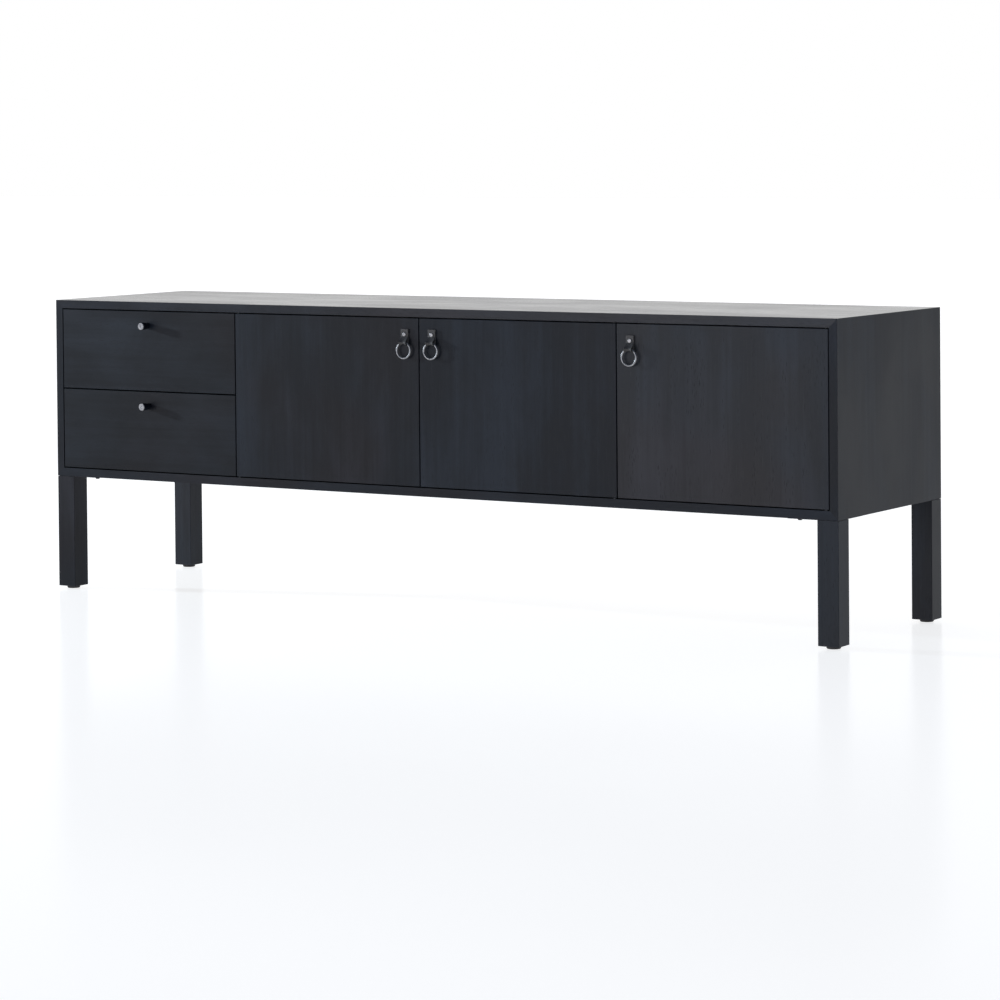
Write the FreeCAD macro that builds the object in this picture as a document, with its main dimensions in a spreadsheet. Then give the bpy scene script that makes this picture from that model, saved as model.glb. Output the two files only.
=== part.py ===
import FreeCAD, Part
import os
import re
import Sketcher

# Low sideboard: a mitred box on four legs, two drawers on the left and three doors.
# Millimetres, +Z up.  X runs along the front, the front looks towards -Y, and the origin
# is on the floor under the middle of the whole object.

SIZES = {
    # case
    "case_width": 2030.0,
    "case_depth": 493.0,
    "case_height": 411.0,
    "case_bottom": 264.0,
    "panel": 19.0,
    "front_gap": 2.5,
    "partition_setback": 3.0,
    "back_thick": 6.0,
    "rebate_deep": 7.0,
    "rebate_wide": 9.0,
    "back_play": 0.5,
    # legs
    "leg_size": 48.0,
    "leg_round": 1.0,
    "glide_radius": 15.0,
    "glide_height": 6.0,
    "glide_round": 1.5,
    "nail_radius": 1.5,
    "nail_length": 16.0,
    "plate_size": 114.0,
    "plate_inset": 3.0,
    "plate_thick": 4.0,
    "plate_proud": 1.0,
    "plate_bolt_near": 24.0,
    "plate_bolt_far": 99.0,
    "bolt_radius": 3.0,
    "bolt_head_radius": 6.5,
    "bolt_head": 4.5,
    "bolt_head_taper": 2.5,
    "bolt_grip": 14.0,
    "stud_radius": 4.0,
    "stud_length": 54.0,
    # fronts
    "edge_round": 0.8,
    # drawers
    "box_board": 12.0,
    "box_tall": 140.0,
    "box_long": 420.0,
    "box_drop": 18.0,
    "box_bottom_thick": 6.0,
    "groove_deep": 6.0,
    "groove_up": 12.0,
    "rail_room": 12.8,
    "rail_length": 400.0,
    "rail_start": 4.0,
    "rail_sheet": 1.2,
    "case_rail_half": 22.5,
    "case_rail_reach": 9.5,
    "middle_rail_half": 18.7,
    "middle_rail_reach": 6.8,
    "middle_rail_off": 3.0,
    "drawer_rail_half": 14.2,
    "drawer_rail_reach": 7.3,
    # drawer knobs
    "knob_radius": 8.2,
    "knob_reach": 26.0,
    "knob_waist": 7.2,
    "knob_drop": 33.2,
    "cap_thick": 2.5,
    "cap_round": 0.8,
    "dimple_radius": 2.4,
    "dimple_deep": 0.8,
    "knob_bolt_radius": 2.5,
    "nut_radius": 5.0,
    "nut_thick": 4.0,
    # door pivots
    "pivot_in": 6.5,
    "pivot_behind": 5.5,
    "pin_radius": 2.25,
    "pin_play": 0.05,
    "pin_deep": 6.5,
    "collar_radius": 4.5,
    "collar_thick": 2.2,
    "leaf_long": 38.0,
    "leaf_wide": 9.0,
    "leaf_thick": 2.5,
    "leaf_inset": 1.0,
    # ring pulls
    "pull_in": 34.0,
    "rivet_drop": 35.4,
    "rivet_head_radius": 4.75,
    "rivet_head": 1.8,
    "rivet_round": 1.5,
    "rivet_radius": 2.0,
    "rivet_grip": 12.0,
    "tab_wide": 19.0,
    "tab_thick": 4.4,
    "tab_above_rivet": 11.5,
    "loop_below_rivet": 17.6,
    "loop_out": 8.2,
    "loop_radius": 7.4,
    "bore_waist": 2.5,
    "bore_mouth": 5.8,
    "ring_radius": 17.4,
    "wire_radius": 2.1,
    # catches
    "catch_in": 60.0,
    "catch_long": 36.0,
    "catch_deep": 12.0,
    "catch_tall": 14.0,
    "strike_radius": 8.0,
    "strike_thick": 1.5,
    "strike_drop": 8.5,
    "catch_gap": 0.5,
    # shelves
    "shelf_thick": 19.0,
    "shelf_side_gap": 1.0,
    "shelf_setback": 20.0,
    "shelf_back_gap": 11.5,
    "pin_hole_radius": 2.5,
    "pin_hole_deep": 8.0,
    "pin_out": 8.0,
    "pin_column_in": 60.0,
    "pin_pitch": 32.0,
    # back screws
    "screw_head_radius": 3.5,
    "screw_head": 1.0,
    "screw_radius": 1.75,
    "screw_edge": 4.5,
}

NEAR = 0.01
LEAST_CUT = 1.0
MOST_NODES = 60

doc = FreeCAD.newDocument("Sideboard")
sheet = doc.addObject("Spreadsheet::Sheet", "Dims")
for row, (alias, number) in enumerate(SIZES.items(), start=1):
    sheet.set("A%d" % row, alias)
    sheet.set("B%d" % row, str(number))
    sheet.setAlias("B%d" % row, alias)
doc.recompute()

# Places that several pieces share, as formulas of the sheet.
FRONT_Y = "((knob_reach - case_depth) / 2)"
BACK_Y = "((knob_reach + case_depth) / 2)"
FRONT_BACK_Y = "(" + FRONT_Y + " + panel)"
CASE_TOP = "(case_bottom + case_height)"
INNER_X = "(case_width / 2 - panel)"
INNER_LOW = "(case_bottom + panel)"
INNER_HIGH = "(" + CASE_TOP + " - panel)"
INNER_TALL = "(case_height - 2 * panel)"
BACK_FACE_Y = "(" + BACK_Y + " - rebate_deep)"
PARTITION_Y = "(" + FRONT_BACK_Y + " + partition_setback)"
COLUMN = "((2 * " + INNER_X + " - front_gap) / 4)"
FRONT_WIDE = "(" + COLUMN + " - front_gap)"
DOOR_TALL = "(" + INNER_TALL + " - 2 * front_gap)"
DOOR_LOW = "(" + INNER_LOW + " + front_gap)"
DRAWER_TALL = "((" + DOOR_TALL + " - front_gap) / 2)"
BAY_LEFT = "(-" + INNER_X + ")"
BAY_RIGHT = "(-" + COLUMN + " - panel / 2)"
BOX_WIDE = "(" + BAY_RIGHT + " - " + BAY_LEFT + " - 2 * rail_room)"
SHELF_Z = "((" + INNER_LOW + " + " + INNER_HIGH + " - shelf_thick) / 2)"
PIN_Z = "(" + SHELF_Z + " - pin_hole_radius)"
PIN_NEAR_Y = "(" + PARTITION_Y + " + pin_column_in)"
PIN_FAR_Y = "(" + BACK_FACE_Y + " - pin_column_in)"

nodes = []


def formula(text):
    """Put the sheet's name before each of its aliases."""
    return re.sub("[a-z_]+", lambda word: "Dims." + word[0] if word[0] in SIZES else word[0], text)


def bind(thing, **formulas):
    """Bind an object's properties to formulas."""
    for name, text in formulas.items():
        thing.setExpression(name, formula(text))
    return thing


def place(thing, corner, turn=None):
    """Turn an object about its own origin, then bind that origin to three formulas."""
    if turn:
        thing.Placement = FreeCAD.Placement(FreeCAD.Vector(), turn)
    for axis, text in zip("xyz", corner):
        thing.setExpression("Placement.Base." + axis, formula(text))
    return thing


def about(x, y, z, degrees):
    """A turn about one axis."""
    return FreeCAD.Rotation(FreeCAD.Vector(x, y, z), degrees)


def finish(thing, label):
    """Name an object as one node of the model."""
    thing.Label = label
    nodes.append(thing)
    return thing


# Part primitives and groups


def box(name, size, corner):
    """A plain block."""
    block = doc.addObject("Part::Box", name)
    bind(block, Length=size[0], Width=size[1], Height=size[2])
    return place(block, corner)


def rod(name, radius, length, start, turn=None):
    """A cylinder from its start point, along +Z before the turn."""
    cylinder = doc.addObject("Part::Cylinder", name)
    bind(cylinder, Radius=radius, Height=length)
    return place(cylinder, start, turn)


def fused(name, shapes):
    """Several solids joined into one."""
    fusion = doc.addObject("Part::MultiFuse", name)
    fusion.Shapes = shapes
    return fusion


def cut(name, base, tools):
    """A solid less one or more others."""
    tool = tools[0]
    if len(tools) > 1:
        tool = doc.addObject("Part::Compound", name + "_tools")
        tool.Links = tools
    result = doc.addObject("Part::Cut", name)
    result.Base = base
    result.Tool = tool
    return result


def group(label, pieces):
    """Separate solids that share one node."""
    compound = doc.addObject("Part::Compound", label)
    compound.Links = pieces
    return finish(compound, label)


# PartDesign bodies


def sketch_on(body, role, lift):
    """An empty sketch on one of the body's own origin planes, lifted along its normal."""
    plane = next(item for item in body.Origin.OriginFeatures if item.Role == role)
    sketch = body.newObject("Sketcher::SketchObject", body.Name + "_sketch")
    sketch.AttachmentSupport = [(plane, "")]
    sketch.MapMode = "FlatFace"
    sketch.setExpression("AttachmentOffset.Base.z", formula(lift))
    return sketch


def fix_point(sketch, geometry, point, name, across, upward):
    """Bind one point of a sketch to two formulas, measured from the sketch's origin."""
    for kind, text in (("DistanceX", across), ("DistanceY", upward)):
        index = sketch.addConstraint(Sketcher.Constraint(kind, -1, 1, geometry, point, 1.0))
        sketch.renameConstraint(index, name + kind[-1])
        sketch.setExpression("Constraints." + name + kind[-1], formula(text))


def outline(body, role, points, lift="0"):
    """A closed outline of straight lines through points given as formulas."""
    sketch = sketch_on(body, role, lift)
    count = len(points)
    for index in range(count):
        start = FreeCAD.Vector(index, index * index, 0)
        following = (index + 1) % count
        end = FreeCAD.Vector(following, following * following, 0)
        sketch.addGeometry(Part.LineSegment(start, end), False)
    for index in range(count):
        sketch.addConstraint(Sketcher.Constraint("Coincident", index, 2, (index + 1) % count, 1))
    for index, (across, upward) in enumerate(points):
        fix_point(sketch, index, 1, "point%s" % chr(ord("A") + index), across, upward)
    return sketch


def rectangle(body, role, corner, size, lift="0"):
    """A rectangle from its lower left corner and its size."""
    (left, low), (wide, tall) = corner, size
    right = "%s + %s" % (left, wide)
    high = "%s + %s" % (low, tall)
    return outline(body, role, [(left, low), (right, low), (right, high), (left, high)], lift)


def circles(body, role, centres, radius, lift="0"):
    """Equal circles at centres given as formulas."""
    sketch = sketch_on(body, role, lift)
    for index, (across, upward) in enumerate(centres):
        middle = FreeCAD.Vector(3 * index, 0, 0)
        sketch.addGeometry(Part.Circle(middle, FreeCAD.Vector(0, 0, 1), 1.0), False)
        name = "hole%s" % chr(ord("A") + index)
        fix_point(sketch, index, 3, name, across, upward)
        ring = sketch.addConstraint(Sketcher.Constraint("Radius", index, 1.0))
        sketch.renameConstraint(ring, name + "Radius")
        sketch.setExpression("Constraints." + name + "Radius", formula(radius))
    return sketch


def new_body(label):
    """An empty body that will be one node."""
    return finish(doc.addObject("PartDesign::Body", label), label)


def pad(body, sketch, length, reverse=False):
    """Extrude a sketch into the body's first solid."""
    feature = body.newObject("PartDesign::Pad", body.Name + "_pad")
    feature.Profile = sketch
    feature.Reversed = reverse
    bind(feature, Length=length)
    doc.recompute()
    return feature


def pocket(body, sketch, depth, reverse=False):
    """Cut a sketch into the body, and make sure that it did remove material."""
    before = body.Shape.Volume
    feature = body.newObject("PartDesign::Pocket", body.Name + "_pocket")
    feature.Profile = sketch
    feature.Reversed = reverse
    bind(feature, Length=depth)
    doc.recompute()
    if body.Shape.Volume > before - LEAST_CUT:
        raise RuntimeError(body.Label + ": a pocket cuts nothing")
    return feature


def revolve(body, points):
    """Turn an outline of (radius, height) points about the body's Z axis."""
    sketch = outline(body, "XZ_Plane", points)
    feature = body.newObject("PartDesign::Revolution", body.Name + "_turn")
    feature.Profile = sketch
    feature.ReferenceAxis = (sketch, ["V_Axis"])
    feature.Angle = 360.0
    doc.recompute()
    return feature


def round_edges(body, radius, chosen):
    """Round the edges of the body's last feature that a test picks."""
    last = body.Tip
    names = ["Edge%d" % (index + 1) for index, edge in enumerate(last.Shape.Edges) if chosen(edge)]
    feature = body.newObject("PartDesign::Fillet", body.Name + "_round")
    feature.Base = (last, names)
    bind(feature, Radius=radius)
    doc.recompute()
    return feature


def board(label, size, corner):
    """A rectangular board from its size and its lowest corner."""
    body = new_body(label)
    pad(body, rectangle(body, "XY_Plane", ("0", "0"), size[:2]), size[2])
    return place(body, corner)


def on_front(edge):
    """True for the edges of a board's front face, which lies at the body's Y = 0."""
    return all(abs(vertex.Y) < NEAR for vertex in edge.Vertexes)


# Case

MITRE = about(1, 0, 0, -90)


def mitred_panel(label, length, turn, corner, tools):
    """A case board with mitred ends and a rebate for the back, seen from the case's inside."""
    blank = doc.addObject("Part::Wedge", label + "_blank")
    bind(blank, Xmax=length, X2min="panel", X2max=length + " - panel", Ymax="panel")
    bind(blank, Zmax="case_depth", Z2max="case_depth")
    blank.Xmin = blank.Ymin = blank.Zmin = blank.Z2min = 0
    place(blank, corner, about(0, 1, 0, turn) * MITRE)
    return finish(cut(label, blank, tools), label)


def rebate(name, size, corner):
    """The cutter of one board's stretch of the back's rebate."""
    return box(name + "_rebate", size, corner)


PLATE_LOW = "(case_bottom - plate_proud)"
corners = {
    "front_left": (-1, -1),
    "front_right": (1, -1),
    "back_left": (-1, 1),
    "back_right": (1, 1),
}


def from_corner(side_x, side_y, along_x, along_y):
    """A point at two distances in from a corner of the case."""
    x = "%d * (case_width / 2 - %s)" % (side_x, along_x)
    y = FRONT_Y + " + " + along_y if side_y < 0 else BACK_Y + " - " + along_y
    return x, y


def corner_block(name, side_x, side_y, size, inset, low, tall):
    """A square block whose sides stay a distance in from a corner of the case."""
    x_near = inset if side_x < 0 else "(%s + %s)" % (inset, size)
    y_near = inset if side_y < 0 else "(%s + %s)" % (inset, size)
    x, y = from_corner(side_x, side_y, x_near, y_near)
    return box(name, (size, size, tall), (x, y, low))


def plate_bolts(side_x, side_y):
    """The three points where a leg plate is bolted to the case, clear of the leg."""
    reach = [("plate_bolt_far", "plate_bolt_near"), ("plate_bolt_near", "plate_bolt_far")]
    reach.append(("plate_bolt_far", "plate_bolt_far"))
    return [from_corner(side_x, side_y, along_x, along_y) for along_x, along_y in reach]


PIVOT_X = {
    "door_1": "(-" + COLUMN + " + front_gap / 2 + pivot_in)",
    "door_2": "(" + COLUMN + " - front_gap / 2 - pivot_in)",
    "door_3": "(" + INNER_X + " - front_gap - pivot_in)",
}
PIVOT_Y = "(" + FRONT_Y + " + pivot_behind)"
HINGED_LEFT = {"door_1": True, "door_2": False, "door_3": False}


def leaf_box(name, door, low):
    """The block that one pivot leaf fills, in a door's edge or in the case."""
    back = "(pivot_in - leaf_inset)"
    x = PIVOT_X[door] + (" - " + back if HINGED_LEFT[door] else " + " + back + " - leaf_long")
    y = PIVOT_Y + " - leaf_wide / 2"
    return box(name, ("leaf_long", "leaf_wide", "leaf_thick"), (x, y, low))


def pin_columns():
    """The Y and Z of each hole in the two columns for shelf pins, three holes high."""
    rows = [PIN_Z + " - pin_pitch", PIN_Z, PIN_Z + " + pin_pitch"]
    return [(column, height) for column in (PIN_NEAR_Y, PIN_FAR_Y) for height in rows]


def make_top():
    """The top: mitred, rebated, and let in for the upper pivot leaves."""
    tools = [rebate("top", ("case_width", "rebate_deep", "rebate_wide"),
                    ("-case_width / 2", BACK_FACE_Y, INNER_HIGH))]
    tools += [leaf_box("top_mortise_" + door, door, INNER_HIGH) for door in PIVOT_X]
    corner = ("-case_width / 2", FRONT_Y, CASE_TOP)
    mitred_panel("top_panel", "case_width", 0, corner, tools)


def make_bottom():
    """The bottom: let in for the lower pivot leaves and, underneath, for the leg plates."""
    tools = [rebate("bottom", ("case_width", "rebate_deep", "rebate_wide"),
                    ("-case_width / 2", BACK_FACE_Y, INNER_LOW + " - rebate_wide"))]
    tools += [leaf_box("bottom_mortise_" + door, door, INNER_LOW + " - leaf_thick") for door in PIVOT_X]
    for name, (side_x, side_y) in corners.items():
        tools.append(corner_block("recess_" + name, side_x, side_y, "plate_size", "plate_inset",
                                  "case_bottom", "plate_thick - plate_proud"))
        for number, (x, y) in enumerate(plate_bolts(side_x, side_y)):
            start = (x, y, PLATE_LOW)
            tools.append(rod("thread_%s_%d" % (name, number), "bolt_radius", "bolt_grip", start))
    corner = ("case_width / 2", FRONT_Y, "case_bottom")
    mitred_panel("bottom_panel", "case_width", 180, corner, tools)


def make_sides():
    """The two sides; the right one carries the single bay's outer shelf pins."""
    tall = ("rebate_wide", "rebate_deep", "case_height")
    left_tools = [rebate("left", tall, (BAY_LEFT + " - rebate_wide", BACK_FACE_Y, "case_bottom"))]
    left_corner = ("-case_width / 2", FRONT_Y, "case_bottom")
    mitred_panel("left_side_panel", "case_height", 270, left_corner, left_tools)
    right_tools = [rebate("right", tall, (INNER_X, BACK_FACE_Y, "case_bottom"))]
    for number, (y, z) in enumerate(pin_columns()):
        right_tools.append(rod("side_pin_hole_%d" % number, "pin_hole_radius", "pin_hole_deep",
                               (INNER_X, y, z), about(0, 1, 0, 90)))
    right_corner = ("case_width / 2", FRONT_Y, CASE_TOP)
    mitred_panel("right_side_panel", "case_height", 90, right_corner, right_tools)


def make_partitions():
    """Two upright partitions, drilled for the shelf pins of the bays beside them."""
    deep = "(" + BACK_FACE_Y + " - " + PARTITION_Y + ")"
    local = [("(" + y + " - " + PARTITION_Y + ")", "(" + z + " - " + INNER_LOW + ")")
             for y, z in pin_columns()]
    for label, middle in (("left_partition", "-" + COLUMN), ("right_partition", COLUMN)):
        corner = (middle + " - panel / 2", PARTITION_Y, INNER_LOW)
        body = board(label, ("panel", deep, INNER_TALL), corner)
        pocket(body, circles(body, "YZ_Plane", local, "pin_hole_radius", "panel"), "pin_hole_deep")
        if label == "right_partition":
            holes = circles(body, "YZ_Plane", local, "pin_hole_radius")
            pocket(body, holes, "pin_hole_deep", True)


def make_back():
    """One thin back panel in the rebate, with screws into the case and the partitions."""
    edge = "(rebate_wide - back_play)"
    wide = "(2 * (" + INNER_X + " + " + edge + "))"
    tall = "(" + INNER_TALL + " + 2 * " + edge + ")"
    low = INNER_LOW + " - " + edge
    points = []
    for step in (-3, -1, 1, 3):
        for height in (INNER_LOW + " - screw_edge", INNER_HIGH + " + screw_edge"):
            points.append(("%d * case_width / 8" % step, height))
    for across in ("-" + INNER_X + " - screw_edge", "-" + COLUMN, COLUMN, INNER_X + " + screw_edge"):
        for quarters in (1, 3):
            points.append((across, INNER_LOW + " + %s * %d / 4" % (INNER_TALL, quarters)))
    panel = board("back_panel", (wide, "back_thick", tall), ("-" + wide + " / 2", BACK_FACE_Y, low))
    local = [("(%s + %s / 2)" % (x, wide), "(%s - (%s))" % (z, low)) for x, z in points]
    pocket(panel, circles(panel, "XZ_Plane", local, "screw_radius", "-back_thick"), "back_thick", True)
    screws = []
    for number, (x, z) in enumerate(points):
        top = BACK_FACE_Y + " + back_thick"
        head = rod("screw_head_%d" % number, "screw_head_radius", "screw_head", (x, top, z),
                   about(1, 0, 0, -90))
        shank = rod("screw_shank_%d" % number, "screw_radius", "back_thick", (x, top, z),
                    about(1, 0, 0, 90))
        screws.append(fused("screw_%d" % number, [head, shank]))
    group("back_screws", screws)


def make_shelves():
    """One shelf in the double bay and one in the single bay, each on four pins."""
    deep = "(" + BACK_FACE_Y + " - shelf_back_gap - " + PARTITION_Y + " - shelf_setback)"
    bays = {
        "double_bay_shelf": ("-" + COLUMN + " + panel / 2", COLUMN + " - panel / 2"),
        "single_bay_shelf": (COLUMN + " + panel / 2", INNER_X),
    }
    pins = []
    for label, (left, right) in bays.items():
        wide = "(%s - (%s) - 2 * shelf_side_gap)" % (right, left)
        corner = (left + " + shelf_side_gap", PARTITION_Y + " + shelf_setback", SHELF_Z)
        body = board(label, (wide, deep, "shelf_thick"), corner)
        round_edges(body, "edge_round", on_front)
        for side, start in (("left", left + " - pin_hole_deep"), ("right", right + " - pin_out")):
            for row, y in (("front", PIN_NEAR_Y), ("back", PIN_FAR_Y)):
                pins.append(rod("pin_%s_%s_%s" % (label, side, row), "pin_hole_radius",
                                "pin_hole_deep + pin_out", (start, y, PIN_Z), about(0, 1, 0, 90)))
    group("shelf_pins", pins)


# Legs


def reaches_bottom(edge):
    """True for the upright edges and the foot's edges of a leg, which stands on the body's Z = 0."""
    return edge.BoundBox.ZMin < NEAR


def make_legs():
    """Square legs flush with the case's corners, on steel plates and round glides."""
    plates = []
    bolts = []
    glides = []
    for name, (side_x, side_y) in corners.items():
        near_x = "0" if side_x < 0 else "leg_size"
        near_y = "0" if side_y < 0 else "leg_size"
        x, y = from_corner(side_x, side_y, near_x, near_y)
        tall = "(" + PLATE_LOW + " - glide_height)"
        leg = board("leg_" + name, ("leg_size", "leg_size", tall), (x, y, "glide_height"))
        middle = [("leg_size / 2", "leg_size / 2")]
        round_edges(leg, "leg_round", reaches_bottom)
        pocket(leg, circles(leg, "XY_Plane", middle, "stud_radius", tall), "stud_length - plate_thick")
        pocket(leg, circles(leg, "XY_Plane", middle, "nail_radius"), "nail_length", True)
        middle_x, middle_y = from_corner(side_x, side_y, "leg_size / 2", "leg_size / 2")
        plate = corner_block("plate_blank_" + name, side_x, side_y, "plate_size", "plate_inset",
                             PLATE_LOW, "plate_thick")
        stud = ("stud_" + name, "stud_radius", "stud_length")
        stud_low = PLATE_LOW + " + plate_thick - stud_length"
        bolts.append(rod(*stud, (middle_x, middle_y, stud_low)))
        holes = [rod("stud_hole_" + name, "stud_radius", "stud_length", (middle_x, middle_y, stud_low))]
        for number, (bolt_x, bolt_y) in enumerate(plate_bolts(side_x, side_y)):
            tail = "%s_%d" % (name, number)
            start = (bolt_x, bolt_y, PLATE_LOW)
            holes.append(rod("bolt_hole_" + tail, "bolt_radius", "bolt_grip", start))
            shank = rod("bolt_shank_" + tail, "bolt_radius", "bolt_grip", start)
            head = doc.addObject("Part::Cone", "bolt_head_" + tail)
            bind(head, Radius1="bolt_head_radius - bolt_head_taper", Radius2="bolt_head_radius")
            bind(head, Height="bolt_head")
            place(head, (bolt_x, bolt_y, PLATE_LOW + " - bolt_head"))
            bolts.append(fused("bolt_" + tail, [shank, head]))
        plates.append(cut("plate_" + name, plate, holes))
        glides.append(make_glide(name, middle_x, middle_y))
    group("leg_plates", plates)
    group("leg_bolts", bolts)
    group("foot_glides", glides)


def make_glide(name, x, y):
    """A round glide with eased rims and the nail that holds it in the leg."""
    glide = doc.addObject("PartDesign::Body", "glide_" + name)
    brim = "glide_radius - glide_round"
    top = "glide_height + nail_length"
    revolve(glide, [("0", "0"), (brim, "0"), ("glide_radius", "glide_round"),
                    ("glide_radius", "glide_height - glide_round"), (brim, "glide_height"),
                    ("nail_radius", "glide_height"), ("nail_radius", top), ("0", top)])
    return place(glide, (x, y, "0"))


# Drawers

DRAWERS = {
    "upper": "(" + INNER_HIGH + " - front_gap - " + DRAWER_TALL + ")",
    "lower": DOOR_LOW,
}
KNOB_X = "(" + BAY_LEFT + " + front_gap + " + FRONT_WIDE + " / 2)"


def channel(name, half, reach, length, place_at, facing_left):
    """One rail member: a C of folded sheet, padded forward from its rear end."""
    body = doc.addObject("PartDesign::Body", name)
    inner = half + " - rail_sheet"
    points = [("0", "-" + half), (reach, "-" + half), (reach, "-(" + inner + ")"),
              ("rail_sheet", "-(" + inner + ")"), ("rail_sheet", inner), (reach, inner),
              (reach, half), ("0", half)]
    pad(body, outline(body, "XZ_Plane", points), length)
    return place(body, place_at, about(0, 1, 0, 180) if facing_left else None)


def make_rails(name, middle_z):
    """A pair of three-member slides: rails on the case, middle rails, rails on the drawer."""
    rear = FRONT_BACK_Y + " + rail_start + rail_length"
    members = {
        "case_rails": ("case_rail_half", "case_rail_reach", "0", False),
        "middle_rails": ("middle_rail_half", "middle_rail_reach", "middle_rail_off", False),
        "drawer_rails": ("drawer_rail_half", "drawer_rail_reach", "rail_room", True),
    }
    for member, (half, reach, off, turned) in members.items():
        pair = []
        for side, wall, sign in (("left", BAY_LEFT, "+"), ("right", BAY_RIGHT, "-")):
            spot = ("%s %s %s" % (wall, sign, off), rear, middle_z)
            faces_left = turned if side == "left" else not turned
            pair.append(channel("%s_%s_%s" % (name, member, side), half, reach, "rail_length",
                                spot, faces_left))
        group("%s_%s" % (name, member), pair)


def make_drawer(name, front_low):
    """A drawer: an inset front screwed to a grooved box, with a peg knob and its slides."""
    front_top = "(" + front_low + " + " + DRAWER_TALL + ")"
    box_low = "(" + front_top + " - box_drop - box_tall)"
    knob_z = "(" + front_top + " - knob_drop)"
    box_left = "(" + BAY_LEFT + " + rail_room)"
    inner_wide = "(" + BOX_WIDE + " - 2 * box_board)"

    front = board(name + "_drawer_front", (FRONT_WIDE, "panel", DRAWER_TALL),
                  (BAY_LEFT + " + front_gap", FRONT_Y, front_low))
    hole = circles(front, "XZ_Plane", [(FRONT_WIDE + " / 2", DRAWER_TALL + " - knob_drop")],
                   "knob_bolt_radius")
    pocket(front, hole, "panel")
    round_edges(front, "edge_round", on_front_of_board)

    for side, x, groove_x in (("left", box_left, "box_board - groove_deep"),
                              ("right", box_left + " + " + BOX_WIDE + " - box_board", "0")):
        body = board("%s_drawer_%s_side" % (name, side), ("box_board", "box_long", "box_tall"),
                     (x, FRONT_BACK_Y, box_low))
        groove = rectangle(body, "XZ_Plane", (groove_x, "groove_up"), ("groove_deep", "box_bottom_thick"))
        pocket(body, groove, "box_long")

    box_front = board(name + "_drawer_box_front", (inner_wide, "box_board", "box_tall"),
                      (box_left + " + box_board", FRONT_BACK_Y, box_low))
    groove = rectangle(box_front, "YZ_Plane", ("box_board - groove_deep", "groove_up"),
                       ("groove_deep", "box_bottom_thick"))
    pocket(box_front, groove, inner_wide, True)
    bolt_at = (KNOB_X + " - " + box_left + " - box_board", knob_z + " - " + box_low)
    hole = circles(box_front, "XZ_Plane", [bolt_at], "knob_bolt_radius")
    pocket(box_front, hole, "box_board")

    rise = "(groove_up + box_bottom_thick)"
    board(name + "_drawer_box_back", (inner_wide, "box_board", "box_tall - " + rise),
          (box_left + " + box_board", FRONT_BACK_Y + " + box_long - box_board", box_low + " + " + rise))
    board(name + "_drawer_bottom",
          (inner_wide + " + 2 * groove_deep", "box_long - box_board + groove_deep", "box_bottom_thick"),
          (box_left + " + box_board - groove_deep", FRONT_BACK_Y + " + box_board - groove_deep",
           box_low + " + groove_up"))
    make_knob(name, knob_z)
    make_rails(name, "(" + box_low + " + box_tall / 2)")


def on_front_of_board(edge):
    """The four outer edges of a board's front face, not the rim of a hole in it."""
    return on_front(edge) and len(edge.Vertexes) == 2


def make_knob(name, knob_z):
    """A waisted peg held by a bolt whose steel head covers the peg's end."""
    outward = about(1, 0, 0, 90)
    peg = new_body(name + "_knob")
    neck = "(knob_reach - cap_thick)"
    revolve(peg, [("knob_bolt_radius", "0"), ("knob_waist", "0"), ("knob_waist", neck + " / 4"),
                  ("knob_radius", neck + " / 2"), ("knob_radius", neck), ("knob_bolt_radius", neck)])
    place(peg, (KNOB_X, FRONT_Y, knob_z), outward)

    bolt = doc.addObject("PartDesign::Body", name + "_bolt")
    tail = "-(panel + box_board + nut_thick)"
    revolve(bolt, [("0", tail), ("knob_bolt_radius", tail), ("knob_bolt_radius", neck),
                   ("knob_radius", neck), ("knob_radius", "knob_reach - cap_round"),
                   ("knob_radius - cap_round", "knob_reach"), ("dimple_radius", "knob_reach"),
                   ("dimple_radius / 2", "knob_reach - dimple_deep"), ("0", "knob_reach - dimple_deep")])
    place(bolt, (KNOB_X, FRONT_Y, knob_z), outward)
    nut_blank = doc.addObject("Part::Prism", name + "_nut_blank")
    nut_blank.Polygon = 6
    bind(nut_blank, Circumradius="nut_radius", Height="nut_thick")
    inside = FRONT_BACK_Y + " + box_board"
    place(nut_blank, (KNOB_X, inside, knob_z), about(1, 0, 0, -90))
    thread = rod(name + "_nut_thread", "knob_bolt_radius", "nut_thick", (KNOB_X, inside, knob_z),
                 about(1, 0, 0, -90))
    group(name + "_knob_bolt", [bolt, cut(name + "_nut", nut_blank, [thread])])


# Doors


def front_low_x(door):
    """The left edge of a door."""
    if HINGED_LEFT[door]:
        return PIVOT_X[door] + " - pivot_in"
    return PIVOT_X[door] + " + pivot_in - " + FRONT_WIDE


def from_free_edge(door, distance):
    """The X of a point a distance in from the door's free edge."""
    left = front_low_x(door)
    return left + " + " + FRONT_WIDE + " - " + distance if HINGED_LEFT[door] else left + " + " + distance


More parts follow.
